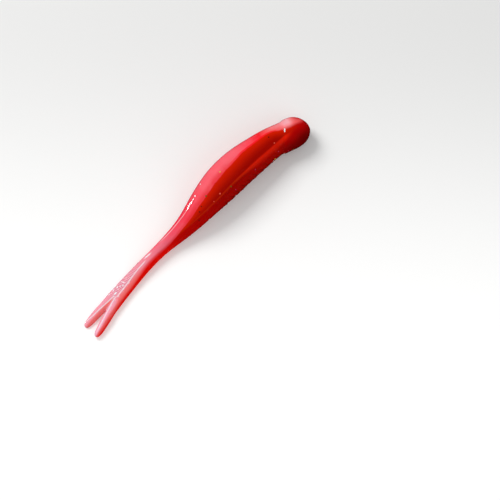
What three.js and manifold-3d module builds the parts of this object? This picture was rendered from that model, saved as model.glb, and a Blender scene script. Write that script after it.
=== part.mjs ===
// A soft plastic fork-tailed minnow bait: one limp piece of vinyl with a blunt head cap, a deep body
// with a herringbone back, a flat tail stem and two prongs. It lies on a table, bent and twisted.
// Sizes are in millimetres, Z is up and the nose points along +X.

import * as THREE from 'three';
import { mergeVertices } from 'three/addons/utils/BufferGeometryUtils.js';
import Module from 'manifold-3d';

const wasm = await Module();
wasm.setup();

const { degToRad, lerp, radToDeg, smoothstep } = THREE.MathUtils;

// ---- Driving sizes of the straight bait, as it leaves its mould ----

const LENGTH = 127; // nose to the shorter prong's tip
const SECTION_POWER = 2.1; // 2 is an ellipse, and more is squarer

// Half width, belly depth and back depth at each distance from the nose.
const GIRTHS = [
  { along: 0, half: 5.8, belly: 5.9, back: 5.7 },
  { along: 13, half: 6.0, belly: 6.5, back: 5.8 },
  { along: 22, half: 6.7, belly: 7.1, back: 6.6 },
  { along: 34, half: 7.3, belly: 8.4, back: 7.2 },
  { along: 46, half: 7.5, belly: 8.2, back: 7.2 },
  { along: 58, half: 6.6, belly: 6.0, back: 5.7 },
  { along: 68, half: 4.5, belly: 3.7, back: 4.3 },
  { along: 78, half: 2.8, belly: 3.1, back: 3.3 },
  { along: 89, half: 2.9, belly: 2.6, back: 2.1 },
  { along: 101, half: 3.4, belly: 2.0, back: 1.5 },
  { along: 117, half: 4.2, belly: 1.7, back: 1.6 },
  { along: LENGTH, half: 4.7, belly: 1.2, back: 1.2 },
];

// Head cap: a blunt round end, whose rear edge stands proud of the body. The edge runs slanting, from
// nearer the nose on the belly to further back on the back.
const NOSE_CORNER = 5.2;
const NOSE_DOME = 0.08;
const CAP_EDGE = 10;
const CAP_FULLEST = 6;
const CAP_PROUD = 0.65; // at its fullest, and at its edge
const EDGE_PROUD = 0.42;
const CAP_SLANT = 4.5;
const SLANT_BETWEEN = [50, 125]; // degrees round from the belly over which the edge slants
const SLANT_ENDS = 23;
const GROOVE_DEPTH = 0.15;
const GROOVE_WIDTH = 2.4;

// Herringbone: ridges that leave the middle of the back and trail to the tail.
const RIDGE_PITCH = 3.45;
const RIDGE_HEIGHT = 0.32;
const APEX_HEIGHT = 0.2; // share of the height that is left in the middle of the back
const APEX_FADE = [128, 158]; // degrees round from the belly over which a ridge sinks to that share
const RIDGE_CREST = 0.7; // share of a pitch from the valley to the crest
const APEX_ROUND = 1.4;
const RIDGES_START = 14;
const RIDGES_END = 90;
const RIDGES_FADE = 8;
const RIDGE_MARGIN = [101, 113]; // degrees round from the belly over which a ridge rises
const SEAM_ANGLE = 99; // degrees round from the belly to the raised seam beside the herringbone
const SEAM_SPREAD = 8;
const SEAM_HEIGHT = 0.25;
const TRAIL_STARTS = [CAP_EDGE, 27]; // distances over which the rows start to trail
const TRAIL_ENDS = [82, 105];

// Fork: two round prongs that part from the stem, with a thin web in the notch.
const FORK_START = 99;
const NOTCH_ROOT = 116.5;
const WEB_START = 102;
const WEB_HALF = 0.35; // shares of the stem's width and depth that are left at the notch
const WEB_DEPTH = 0.5;
const LONGER_PRONG = 1.3; // how far one prong reaches past the other
const PRONG_WIDTHS = [
  { along: FORK_START, offset: 1.5, half: 1.5, thick: 1.3 },
  { along: 108, offset: 1.85, half: 2.0, thick: 1.85 },
  { along: NOTCH_ROOT, offset: 2.15, half: 2.05, thick: 1.6 },
  { along: LENGTH, offset: 3.0, half: 1.55, thick: 1.15 },
];

// ---- How the limp bait lies ----

const START_HEADING = -25.5; // degrees from the X axis at the nose
const BENDS = [
  { from: 0, to: 26, turn: 20.4 },
  { from: 14, to: 58, turn: 9.9 },
  { from: 56, to: 80, turn: -6.9 },
  { from: 66, to: 100, turn: 6.2 },
  { from: 88, to: LENGTH, turn: 7.5 },
];
const BODY_ROLL = 61; // degrees between the belly's direction and straight up
const TAIL_ROLL = 8;
const TWIST_FROM = 40;
const TWIST_TO = 106;
const PRESS = 0.4; // how far the soft underside flattens on the table

// ---- Mesh fineness ----

const BODY_SIDES = 40;
const PRONG_SIDES = 16;
const CAP_ROWS = [-3.2, -1.7, -0.5, 0, 0.35, 1.1, 2.2].map((step) => CAP_EDGE + step);
const STEPS_PER_RIDGE = 4;
const STEM_STEP = 1.8;
const PRONG_STEP = 1.1;
const ROUNDING_STEP = 18; // degrees
const SPINE_STEP = 0.25;
const GIRTH_STEP = 6; // degrees
const WELD = 1e-4;

// A smooth curve through each column of a table whose first column is the distance from the nose.
function curvesOf(table) {
  const [, ...columns] = Object.keys(table[0]);
  const stations = table.map((row) => row.along);
  const values = table.flatMap((row) => columns.map((column) => row[column]));
  const curve = new THREE.CubicInterpolant(stations, values, columns.length);
  return (along) => {
    const found = curve.evaluate(along);
    return Object.fromEntries(columns.map((column, i) => [column, found[i]]));
  };
}

const girthAt = curvesOf(GIRTHS);
const prongAt = curvesOf(PRONG_WIDTHS);

// A point of a section: the angle runs from the belly, 0, over the side, 90, to the back, 180.
// It gives the place across and towards the belly, and the outward direction there.
function sectionPoint({ half, belly, back }, angle) {
  const power = 2 / SECTION_POWER;
  const across = Math.sin(angle);
  const toBelly = Math.cos(angle);
  const depth = toBelly > 0 ? belly : back;
  return {
    side: Math.sign(across) * half * Math.abs(across) ** power,
    down: Math.sign(toBelly) * depth * Math.abs(toBelly) ** power,
    outward: new THREE.Vector2(across / half, toBelly / depth).normalize(),
  };
}

// ---- The bent spine ----

function headingAt(along) {
  const turned = BENDS.map(({ from, to, turn }) => turn * smoothstep(along, from, to));
  return degToRad(turned.reduce((sum, turn) => sum + turn, START_HEADING));
}

function rollAt(along) {
  return degToRad(lerp(BODY_ROLL, TAIL_ROLL, smoothstep(along, TWIST_FROM, TWIST_TO)));
}

// Places of the spine, seen from above, one for each step from the nose.
function walkSpine() {
  const places = [new THREE.Vector2(0, 0)];
  for (let along = SPINE_STEP / 2; along < LENGTH + 2 * LONGER_PRONG; along += SPINE_STEP) {
    const heading = headingAt(along);
    const step = new THREE.Vector2(-Math.cos(heading), -Math.sin(heading)).multiplyScalar(SPINE_STEP);
    places.push(places[places.length - 1].clone().add(step));
  }
  return places;
}

const SPINE = walkSpine();

function spineAt(along) {
  const steps = Math.max(along, 0) / SPINE_STEP;
  const index = Math.min(Math.floor(steps), SPINE.length - 2);
  return SPINE[index].clone().lerp(SPINE[index + 1], steps - index);
}

// The height of the spine, so that the section's lowest point presses a little into the table.
function restHeightAt(along) {
  const roll = rollAt(along);
  const girth = girthAt(along);
  let lowest = 0;
  for (let degrees = 0; degrees < 360; degrees += GIRTH_STEP) {
    const { side, down } = sectionPoint(girth, degToRad(degrees));
    lowest = Math.min(lowest, side * Math.sin(roll) + down * Math.cos(roll));
  }
  return -lowest - PRESS;
}

// Moves a point of the straight bait to where it lies. The underside is flat on the table.
function lay(along, side, down) {
  const heading = headingAt(along);
  const roll = rollAt(along);
  const sideways = down * Math.sin(roll) - side * Math.cos(roll);
  const up = down * Math.cos(roll) + side * Math.sin(roll);
  const spine = spineAt(along);
  return new THREE.Vector3(
    spine.x - sideways * Math.sin(heading),
    spine.y + sideways * Math.cos(heading),
    Math.max(restHeightAt(along) + up, 0),
  );
}

// ---- Relief ----

// How far a herringbone ridge trails behind its apex, for a place across the back.
function trailOf(side) {
  return Math.hypot(side, APEX_ROUND) - APEX_ROUND;
}

function roundOf(angle) {
  return Math.abs(radToDeg(Math.atan2(Math.sin(angle), Math.cos(angle))));
}

// How far a row near the cap's edge lies behind its place on the belly.
function slantOf(row, angle) {
  const near = smoothstep(row, NOSE_CORNER, CAP_EDGE) * (1 - smoothstep(row, CAP_EDGE, SLANT_ENDS));
  return CAP_SLANT * near * smoothstep(roundOf(angle), ...SLANT_BETWEEN);
}

function ridgeProfile(phase) {
  const share = phase - Math.floor(phase);
  return share < RIDGE_CREST
    ? smoothstep(share, 0, RIDGE_CREST)
    : 1 - smoothstep(share, RIDGE_CREST, 1);
}

// The cap swells to its fullest, stands proud up to its rear edge, and a shallow groove follows.
function capReliefAt(row) {
  if (row <= CAP_FULLEST) return CAP_PROUD * smoothstep(row, 0, CAP_FULLEST);
  if (row <= CAP_EDGE) return lerp(CAP_PROUD, EDGE_PROUD, smoothstep(row, CAP_FULLEST, CAP_EDGE));
  const fromMiddle = Math.abs(row - CAP_EDGE - GROOVE_WIDTH / 2) / (GROOVE_WIDTH / 2);
  return -GROOVE_DEPTH * Math.max(0, 1 - fromMiddle);
}

// Height of the skin over the plain section. Features follow the row, which trails on the sides.
function reliefAt(row, angle) {
  const round = roundOf(angle);
  const started = smoothstep(row, RIDGES_START - 2, RIDGES_START + 3);
  const fade = started * (1 - smoothstep(row, RIDGES_END - RIDGES_FADE, RIDGES_END));
  const height = RIDGE_HEIGHT * lerp(1, APEX_HEIGHT, smoothstep(round, ...APEX_FADE));
  const ridge = height * ridgeProfile((row - RIDGES_START) / RIDGE_PITCH);
  const onBack = smoothstep(round, ...RIDGE_MARGIN);
  const seam = SEAM_HEIGHT * Math.max(0, 1 - Math.abs(round - SEAM_ANGLE) / SEAM_SPREAD);
  return capReliefAt(row) + (ridge * onBack + seam) * fade;
}

// ---- Solids ----

// Turns a geometry into a manifold solid after its shared vertices are merged.
function solidOf(geometry) {
  geometry.deleteAttribute('normal');
  geometry.deleteAttribute('uv');
  const merged = mergeVertices(geometry, WELD);
  const corners = [];
  for (let i = 0; i < merged.index.count; i += 3) {
    const [a, b, c] = merged.index.array.slice(i, i + 3);
    if (a !== b && b !== c && c !== a) corners.push(a, b, c);
  }
  const vertProperties = merged.attributes.position.array;
  return new wasm.Manifold(new wasm.Mesh({ numProp: 3, vertProperties, triVerts: new Uint32Array(corners) }));
}

// Reshapes each vertex of a lathed blank of unit radius: place gets its row, angle and share of radius.
function reshape(blank, place) {
  const position = blank.attributes.position;
  const vertex = new THREE.Vector3();
  for (let i = 0; i < position.count; i++) {
    vertex.fromBufferAttribute(position, i);
    const share = Math.hypot(vertex.x, vertex.z);
    const { along, side, down } = place(vertex.y, Math.atan2(-vertex.x, vertex.z), share);
    position.setXYZ(i, along, side, down);
  }
  return blank;
}

// Rows of the body blank: each is a share of the full section and a distance from the nose.
function bodyProfile() {
  const corner = NOSE_CORNER / GIRTHS[0].half;
  const profile = [new THREE.Vector2(0, 0)];
  for (let turn = 0; turn <= 90; turn += ROUNDING_STEP) {
    const share = 1 - corner * (1 - Math.sin(degToRad(turn)));
    const inward = NOSE_CORNER * (1 - Math.cos(degToRad(turn)));
    profile.push(new THREE.Vector2(share, NOSE_DOME + inward));
  }
  const rows = [...CAP_ROWS];
  const ridgeStep = RIDGE_PITCH / STEPS_PER_RIDGE;
  for (let row = RIDGES_START - ridgeStep; row < RIDGES_END; row += ridgeStep) rows.push(row);
  for (let row = RIDGES_END + STEM_STEP; row < NOTCH_ROOT - STEM_STEP; row += STEM_STEP) rows.push(row);
  profile.push(...rows.map((row) => new THREE.Vector2(1, row)));
  profile.push(new THREE.Vector2(0.8, NOTCH_ROOT - 0.7), new THREE.Vector2(0, NOTCH_ROOT));
  return profile;
}

// From the fork's start the body shrinks to the web between the prongs.
function bodyGirthAt(along) {
  const { half, belly, back } = girthAt(along);
  const web = smoothstep(along, WEB_START, NOTCH_ROOT);
  const depthShare = lerp(1, WEB_DEPTH, web);
  return { half: half * lerp(1, WEB_HALF, web), belly: belly * depthShare, back: back * depthShare };
}

function bodySolid() {
  const blank = new THREE.LatheGeometry(bodyProfile(), BODY_SIDES);
  return solidOf(
    reshape(blank, (row, angle, share) => {
      const swept = smoothstep(row, ...TRAIL_STARTS) * (1 - smoothstep(row, ...TRAIL_ENDS));
      const plain = girthAt(row);
      const fromMiddle = Math.cos(angle) < 0 ? Math.abs(sectionPoint(plain, angle).side) : plain.half;
      const along = row + trailOf(fromMiddle) * swept + slantOf(row, angle);
      const { side, down, outward } = sectionPoint(bodyGirthAt(along), angle);
      const relief = reliefAt(row, angle);
      return {
        along,
        side: (side + outward.x * relief) * share,
        down: (down + outward.y * relief) * share,
      };
    }),
  );
}

// Rows of a prong blank: a closed start inside the stem, then full rows, then the rounded tip.
function prongProfile() {
  const tip = PRONG_WIDTHS[PRONG_WIDTHS.length - 1].half;
  const profile = [new THREE.Vector2(0, FORK_START)];
  for (let row = FORK_START; row < LENGTH - tip; row += PRONG_STEP) {
    profile.push(new THREE.Vector2(1, row));
  }
  for (let turn = 0; turn <= 90; turn += ROUNDING_STEP) {
    const inward = tip * (1 - Math.sin(degToRad(turn)));
    profile.push(new THREE.Vector2(Math.cos(degToRad(turn)), LENGTH - inward));
  }
  return profile;
}

// One prong: hand is 1 or -1 for its side of the middle, and extra is added to its length.
function prongSolid(hand, extra) {
  const blank = new THREE.LatheGeometry(prongProfile(), PRONG_SIDES);
  return solidOf(
    reshape(blank, (row, angle, share) => {
      const { offset, half, thick } = prongAt(row);
      return {
        along: row + extra * smoothstep(row, FORK_START, LENGTH),
        side: hand * offset + half * Math.sin(angle) * share,
        down: thick * Math.cos(angle) * share,
      };
    }),
  );
}

// Joins body and prongs while straight, then lays the joined skin on the table.
function baitGeometry() {
  const joined = bodySolid().add(prongSolid(1, LONGER_PRONG)).add(prongSolid(-1, 0)).getMesh();
  const laid = new Float32Array(joined.numVert * 3);
  for (let i = 0; i < joined.numVert; i++) {
    const start = i * joined.numProp;
    const [along, side, down] = joined.vertProperties.subarray(start, start + 3);
    lay(along, side, down).toArray(laid, i * 3);
  }
  const geometry = new THREE.BufferGeometry();
  geometry.setAttribute('position', new THREE.BufferAttribute(laid, 3));
  geometry.setIndex(new THREE.BufferAttribute(new Uint32Array(joined.triVerts), 1));
  geometry.computeBoundingBox();
  const middle = geometry.boundingBox.getCenter(new THREE.Vector3());
  return geometry.translate(-middle.x, -middle.y, -geometry.boundingBox.min.z);
}

const vinyl = new THREE.MeshStandardMaterial({ color: '#e0303c', roughness: 0.18, metalness: 0 });

const bait = new THREE.Mesh(baitGeometry(), vinyl);
bait.name = 'bait';

const group = new THREE.Group();
group.add(bait);

export default group;
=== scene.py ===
# %% [markdown]
# # A fork-tailed minnow bait in soft vinyl
# The object is one limp piece of clear-tinted vinyl, poured in two colours: pink on the belly and
# deep red on the back. It has a blunt head cap, a deep body with herringbone ridges on the back, a
# flat stem and a forked tail. Here it lies on a table, a little bent and twisted. The packed frame
# holds the plain solid. This lesson models the same bait again with finer skin, and paints it.

# %% The frame
import math

import bmesh
import bpy
import numpy as np
from mathutils import Matrix, Vector


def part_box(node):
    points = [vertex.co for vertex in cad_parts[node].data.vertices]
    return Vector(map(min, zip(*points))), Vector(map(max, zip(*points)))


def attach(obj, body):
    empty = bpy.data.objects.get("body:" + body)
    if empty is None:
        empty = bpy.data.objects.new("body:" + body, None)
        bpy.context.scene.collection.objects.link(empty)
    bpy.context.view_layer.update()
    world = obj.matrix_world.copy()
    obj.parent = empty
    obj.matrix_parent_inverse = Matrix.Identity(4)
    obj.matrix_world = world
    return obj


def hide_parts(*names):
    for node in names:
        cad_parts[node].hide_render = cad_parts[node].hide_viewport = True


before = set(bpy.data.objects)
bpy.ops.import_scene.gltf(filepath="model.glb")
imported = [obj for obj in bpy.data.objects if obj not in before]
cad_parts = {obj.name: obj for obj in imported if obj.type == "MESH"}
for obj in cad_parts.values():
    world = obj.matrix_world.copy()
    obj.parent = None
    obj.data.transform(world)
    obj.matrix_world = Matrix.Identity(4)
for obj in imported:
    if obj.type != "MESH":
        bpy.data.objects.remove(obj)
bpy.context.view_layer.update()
MM = 0.001


# %% [markdown]
# ## The straight bait's girths
# A mould maker draws such a bait straight, as a row of sections. Each section is a rounded square
# that is as wide as it is told and has its own depth to the belly and to the back. A table of a
# dozen sections and a smooth curve through them is enough, and it keeps every size in one place.

# %% Girths
LENGTH = 127.0  # all sizes are in millimetres until the bait is laid down
SECTION_POWER = 2.1  # 2 is an ellipse, and more is squarer
GIRTHS = np.array([  # distance from the nose, half width, belly depth, back depth
    (0, 5.8, 5.9, 5.7), (13, 6.0, 6.5, 5.8), (22, 6.7, 7.1, 6.6), (34, 7.3, 8.4, 7.2),
    (46, 7.5, 8.2, 7.2), (58, 6.6, 6.0, 5.7), (68, 4.5, 3.7, 4.3), (78, 2.8, 3.1, 3.3),
    (89, 2.9, 2.6, 2.1), (101, 3.4, 2.0, 1.5), (117, 4.2, 1.7, 1.6), (LENGTH, 4.7, 1.2, 1.2),
])
PRONGS = np.array([  # distance from the nose, offset from the middle, half width, half thickness
    (99, 1.5, 1.5, 1.3), (108, 1.85, 2.0, 1.85), (116.5, 2.15, 2.05, 1.6), (LENGTH, 3.0, 1.55, 1.15),
])
FORK_START, NOTCH_ROOT = 101.0, 116.5
LONGER_PRONG = 1.3


def smoothstep(value, low, high):
    """0 below low, 1 above high and a smooth rise between them."""
    share = np.clip((value - low) / (high - low), 0, 1)
    return share * share * (3 - 2 * share)


def curve_through(table, along):
    """A smooth curve through each column of a table whose first column is the distance."""
    stations, columns = table[:, 0], table[:, 1:]
    slopes = np.diff(columns, axis=0) / np.diff(stations)[:, None]
    tangents = np.zeros_like(columns)
    tangents[1:-1] = (slopes[1:] + slopes[:-1]) / 2
    along = np.clip(np.atleast_1d(along), stations[0], stations[-1])
    left = np.clip(np.searchsorted(stations, along, side="right") - 1, 0, len(stations) - 2)
    gap = (stations[left + 1] - stations[left])[:, None]
    share = (along - stations[left])[:, None] / gap
    start, end = columns[left], columns[left + 1]
    return (start * (1 + 2 * share) * (1 - share) ** 2 + end * share**2 * (3 - 2 * share)
            + gap * share * (1 - share) * (tangents[left] * (1 - share) - tangents[left + 1] * share))


def section_point(along, turn):
    """Places across and towards the belly; turn runs from the belly, 0, over the side to the back."""
    half, belly, back = curve_through(GIRTHS, along).T
    across, to_belly = np.sin(turn), np.cos(turn)
    depth = np.where(to_belly > 0, belly, back)
    power = 2 / SECTION_POWER
    return (np.sign(across) * half * np.abs(across) ** power,
            np.sign(to_belly) * depth * np.abs(to_belly) ** power)


print("half width, belly and back at 40 mm:", curve_through(GIRTHS, 40).round(2))

# %% [markdown]
# ## The cage: nose to fork
# The skin could be a lathe or a sculpt, but a limp organic form is easiest as a cage of few faces
# that is smoothed afterwards. An eight-sided disc is the nose. It is extruded again and again
# towards the tail, and the corners of each new ring are put on the next section. Smoothing pulls
# a ring of eight in by a known share, so the rings are made larger by that share. The cap stands a
# little proud of the body, and its edge slants: it lies further back on the bait's back.

# %% Cage of the body
CORNERS = 8
CORNER_TURN = math.tau / CORNERS
RING_SWELL = 3 / (2 + math.cos(CORNER_TURN))
NOSE_RINGS = [(0.0, 0.22), (1.9, 0.74), (4.2, 1.0)]  # distance, share of the full section
CAP_RINGS = [(6.2, 0.72), (8.4, 0.58), (9.75, 0.5), (10.15, 0.05), (11.3, -0.15)]  # distance, proud
CAP_EDGE, CAP_SLANT = 10.0, 4.5
SLANT_BEGINS, SLANT_ENDS = 3.0, 23.0  # the rings between these distances slant with the cap's edge
SLANT_ROUND = 50, 125  # degrees round from the belly over which the edge falls back
BODY_RINGS = np.arange(17.5, FORK_START, 4.6)
FORK_RINGS = [105.5, 109.5, 113.0, NOTCH_ROOT - 1]
WEB_HALF_DEPTH = 0.45  # of the thin web between the prongs
LOBE_SWELL = 1.12
ON_MIDDLE = 0.1  # a corner whose sine or cosine is less lies on the middle line


def slant_of(along, degrees_round):
    """How far the cap's edge lies behind its place on the belly."""
    near = smoothstep(along, SLANT_BEGINS, CAP_EDGE) * (1 - smoothstep(along, CAP_EDGE, SLANT_ENDS))
    return CAP_SLANT * near * smoothstep(degrees_round, *SLANT_ROUND)


def side_of(share):
    """-1 or 1 for the side on which a sine or cosine puts a corner, and 0 on the middle line."""
    return math.copysign(1, share) if abs(share) > ON_MIDDLE else 0


def body_corner(along, turn, proud=0.0, share=1.0):
    """A corner of a body ring; near the fork its middle is pinched in between two round lobes."""
    along = along + float(slant_of(along, abs(math.degrees(turn))))
    side, down = (value[0] for value in section_point(along, turn))
    offset, half, thick = curve_through(PRONGS, along)[0]
    hand, tall = side_of(math.sin(turn)), side_of(math.cos(turn))
    lobe_side = hand * (offset + (half if tall == 0 else 0.0))
    lobe_down = tall * (thick * LOBE_SWELL if hand else WEB_HALF_DEPTH)
    pinch = float(smoothstep(along, FORK_START, NOTCH_ROOT))
    swell = RING_SWELL * (1 + proud / math.hypot(side, down)) * share
    return Vector((-along, side * swell * (1 - pinch) + lobe_side * RING_SWELL * pinch,
                   -down * swell * (1 - pinch) - lobe_down * RING_SWELL * pinch))


def turn_of(corner):
    """Which of the eight directions a corner lies in, as an angle from the belly."""
    return round(math.atan2(corner.co.y, -corner.co.z) / CORNER_TURN) * CORNER_TURN


def put_selected(place):
    """Puts each selected corner of the cage where place says."""
    cage = bmesh.from_edit_mesh(bpy.context.object.data)
    for corner in cage.verts:
        if corner.select:
            corner.co = place(corner)
    bmesh.update_edit_mesh(bpy.context.object.data)


def extrude_to(along, proud=0.0, share=1.0):
    """Extrudes the selected face and puts its corners on the section at that distance."""
    bpy.ops.mesh.extrude_region_move()
    put_selected(lambda corner: body_corner(along, turn_of(corner), proud, share))


bpy.ops.object.select_all(action="DESELECT")
bpy.ops.mesh.primitive_circle_add(vertices=CORNERS, radius=GIRTHS[0, 1], fill_type="NGON",
                                  rotation=(0, math.pi / 2, 0))
bait = bpy.context.object
bait.name = bait.data.name = "bait_skin"
bpy.ops.object.transform_apply(location=True, rotation=True, scale=True)
bpy.ops.object.mode_set(mode="EDIT")
bpy.ops.mesh.select_all(action="SELECT")
put_selected(lambda corner: body_corner(0, turn_of(corner), share=NOSE_RINGS[0][1]))
for ring, share in NOSE_RINGS[1:]:
    extrude_to(ring, share=share)
for ring, proud in CAP_RINGS:
    extrude_to(ring, proud)
for ring in [*BODY_RINGS, *FORK_RINGS]:
    extrude_to(ring)
print("body cage:", len([*NOSE_RINGS, *CAP_RINGS, *BODY_RINGS, *FORK_RINGS]), "rings")

# %% [markdown]
# ## The fork
# The tail ends in two round prongs. Two tubes could be joined to the stem with a Boolean, but the
# seam would be hard to smooth. Instead the last face is cut in two from its belly corner to its
# back corner, and each half is extruded on its own, so the crotch is part of the same cage.
# Extrusion doesn't list the new corners alike in each run, and the glitter is drawn from that list,
# so the finished cage is put in a fixed order.

# %% Cage of the prongs
PRONG_RINGS = [NOTCH_ROOT + 1.2, 121.0, 124.4, 126.7]
PRONG_CORNERS = CORNERS // 2 + 1
PRONG_TURN = math.tau / PRONG_CORNERS
PRONG_SWELL = 3 / (2 + math.cos(PRONG_TURN))
SAME_PLACE = 1e-3  # two places that differ by less are the same
OFF_MIDDLE = 0.2  # the middle of a prong's first face is further out than this


def prong_corner(along, hand, corner):
    """The place of a corner on the next ring of a prong, in its nearest of five directions."""
    offset, half, thick = curve_through(PRONGS, along)[0]
    rounding = math.sqrt(max(0.0, 1 - max(0.0, (along - LENGTH + half) / half) ** 2))
    angle = round(math.atan2(corner.co.z, corner.co.y * hand - offset) / PRONG_TURN) * PRONG_TURN
    reach = along + (LONGER_PRONG if hand > 0 else 0) * float(smoothstep(along, FORK_START, LENGTH))
    outward = half * PRONG_SWELL * rounding * math.cos(angle)
    return Vector((-reach, hand * (offset + outward), thick * PRONG_SWELL * rounding * math.sin(angle)))


def select_in_cage(mode, wanted):
    """Selects the vertices or faces of the cage that wanted says yes to."""
    bpy.ops.mesh.select_mode(type=mode)
    bpy.ops.mesh.select_all(action="DESELECT")
    cage = bmesh.from_edit_mesh(bait.data)
    for element in cage.verts if mode == "VERT" else cage.faces:
        element.select = wanted(element)
    cage.select_flush_mode()
    bmesh.update_edit_mesh(bait.data)


def at_fork(x):
    """Whether a place along the bait is on the last ring of the body."""
    return abs(x + FORK_RINGS[-1]) < SAME_PLACE


def extrude_prong(hand):
    """Grows one prong out of its half of the last face."""
    select_in_cage("FACE", lambda face: at_fork(face.calc_center_median().x)
                   and face.calc_center_median().y * hand > OFF_MIDDLE)
    for ring in PRONG_RINGS:
        bpy.ops.mesh.extrude_region_move()
        put_selected(lambda corner: prong_corner(ring, hand, corner))


def put_in_order(mesh):
    """Lists a mesh's corners and faces anew, sorted by place."""
    corners = sorted(tuple(corner.co) for corner in mesh.vertices)
    number = {corner: index for index, corner in enumerate(corners)}
    faces = []
    for face in mesh.polygons:
        loop = [number[tuple(mesh.vertices[corner].co)] for corner in face.vertices]
        first = loop.index(min(loop))
        faces.append(loop[first:] + loop[:first])
    mesh.clear_geometry()
    mesh.from_pydata(corners, [], sorted(faces))


select_in_cage("VERT", lambda corner: at_fork(corner.co.x) and abs(corner.co.y) < SAME_PLACE)
bpy.ops.mesh.vert_connect()
for hand in (1, -1):
    extrude_prong(hand)
bpy.ops.mesh.select_all(action="SELECT")
bpy.ops.mesh.normals_make_consistent(inside=False)
bpy.ops.mesh.select_all(action="DESELECT")
bpy.ops.object.mode_set(mode="OBJECT")
put_in_order(bait.data)
print("whole cage:", len(bait.data.vertices), "corners,", len(bait.data.polygons), "faces")

# %% [markdown]
# ## The smooth skin
# Subdivision turns the cage into a fine skin, with faces of about a third of a millimetre. Two
# places are then worked out for each of its points: how far it is from the nose, and how many
# degrees it lies round from the middle of the belly. All that is moulded or painted on the bait
# follows lines of these two.

# %% Skin
SKIN_LEVELS = 4

smooth_skin = bait.modifiers.new("smooth skin", "SUBSURF")
smooth_skin.levels = smooth_skin.render_levels = SKIN_LEVELS
bpy.ops.object.modifier_apply(modifier=smooth_skin.name)


def read_vectors(collection, field):
    """A vector of every point of a mesh, such as its place or its normal, as rows of three numbers."""
    values = np.empty(len(collection) * 3, dtype=np.float32)
    collection.foreach_get(field, values)
    return values.reshape(-1, 3).astype(float)


straight = read_vectors(bait.data.vertices, "co")
along, side, down = -straight[:, 0], straight[:, 1], -straight[:, 2]
half, belly, back = curve_through(GIRTHS, along).T
thick = curve_through(PRONGS, along)[:, 2]
on_prong = smoothstep(along, FORK_START, NOTCH_ROOT)
depth = np.where(down > 0, belly, back) * (1 - on_prong) + thick * on_prong
level = np.clip(down / depth, -1, 1)
round_from_belly = np.degrees(np.arccos(np.sign(level) * np.abs(level) ** (SECTION_POWER / 2)))
print("skin:", len(straight), "points, out to", along.max().round(1), "mm")

# %% [markdown]
# ## The herringbone
# The ridges leave the middle of the back and trail towards the tail at about 45 degrees. They are
# too regular to sculpt and too deep for a bump alone, so each point of the skin will be moved along
# its normal by a height. A ridge is a line where a point's distance from the nose, less its trail,
# is the same, so that difference is called its row. The profile rises slowly and falls fast, as on
# a fish's scale. The ridges sink where the body narrows, because the outline is smooth there.

# %% Ridges
RIDGE_PITCH, RIDGE_HEIGHT, RIDGE_CREST = 3.45, 0.32, 0.7  # the crest's place is a share of the pitch
RIDGES_BEGIN, RIDGES_END = (15.0, 20.0), (82.0, 90.0)  # distances where they rise, rows where they end
RIDGES_SINK, SUNK_SHARE = (46, 58), 0.8
BACK_BEGINS = 105, 114  # degrees round from the belly
APEX_FADE, APEX_LOSS = (128, 158), 0.8  # degrees round, and the share of the height lost there
APEX_ROUND = 1.4


def ridge_profile(row):
    """The height of the herringbone on a row, from 0 in a groove to 1 on a crest."""
    share = (row - RIDGES_BEGIN[0]) / RIDGE_PITCH % 1
    return np.where(share < RIDGE_CREST, smoothstep(share, 0, RIDGE_CREST),
                    1 - smoothstep(share, RIDGE_CREST, 1))


row = along - (np.hypot(side, APEX_ROUND) - APEX_ROUND)
on_body = smoothstep(along, *RIDGES_BEGIN) * (1 - smoothstep(row, *RIDGES_END))
on_back = smoothstep(round_from_belly, *BACK_BEGINS)
ridge = ridge_profile(row) * on_back * on_body * (1 - SUNK_SHARE * smoothstep(along, *RIDGES_SINK))
relief = RIDGE_HEIGHT * ridge * (1 - APEX_LOSS * smoothstep(round_from_belly, *APEX_FADE))
print("highest ridge in mm:", relief.max().round(2))

# %% [markdown]
# ## The seam and the ledge
# Along the flank a raised seam parts the smooth belly side from the ridged back. It is broad behind
# the cap, thin on the flank, and sinks into the stem. A bevelled curve could be laid on the skin,
# but it would have to be joined to it, so the seam is a height too, that rises and falls across the
# line of a table. A shallow ledge above it sets off the ends of the ridges.

# %% Seam and ledge
SEAM = np.array([  # distance from the nose, degrees round where the seam starts, its width in degrees
    (0, 60, 8), (10, 70, 12), (15, 80, 16), (20, 87, 20), (28, 90, 20), (36, 92, 12), (46, 92, 7),
    (52, 90, 5), (57, 84, 5), (62, 76, 5), (67, 66, 5), (72, 57, 5), (80, 52, 5), (LENGTH, 50, 5),
])
SEAM_ENDS = 62, 72  # distances over which the seam sinks into the stem
SEAM_HEIGHT, SEAM_FOOT, SEAM_RISE = 0.3, -2.0, 5.0  # the last two are the degrees where it rises
LEDGE_ANGLE, LEDGE_DEPTH, LEDGE_WIDTH = 105.0, 0.16, 6.0


def bump_at(value, middle, width):
    """A smooth hump, 1 at the middle and 0 at a width to each side."""
    return smoothstep(1 - np.abs(value - middle) / width, 0, 1)


seam_start, seam_width = curve_through(SEAM, along).T
past_seam = round_from_belly - seam_start
seam_strength = smoothstep(along, *RIDGES_BEGIN) * (1 - smoothstep(along, *SEAM_ENDS))
relief += SEAM_HEIGHT * seam_strength * (smoothstep(past_seam, SEAM_FOOT, SEAM_RISE)
                                         - smoothstep(past_seam, SEAM_RISE, SEAM_RISE + seam_width))
relief -= LEDGE_DEPTH * bump_at(round_from_belly, LEDGE_ANGLE, LEDGE_WIDTH) * on_body
print("deepest and highest relief in mm:", relief.min().round(2), relief.max().round(2))

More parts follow.
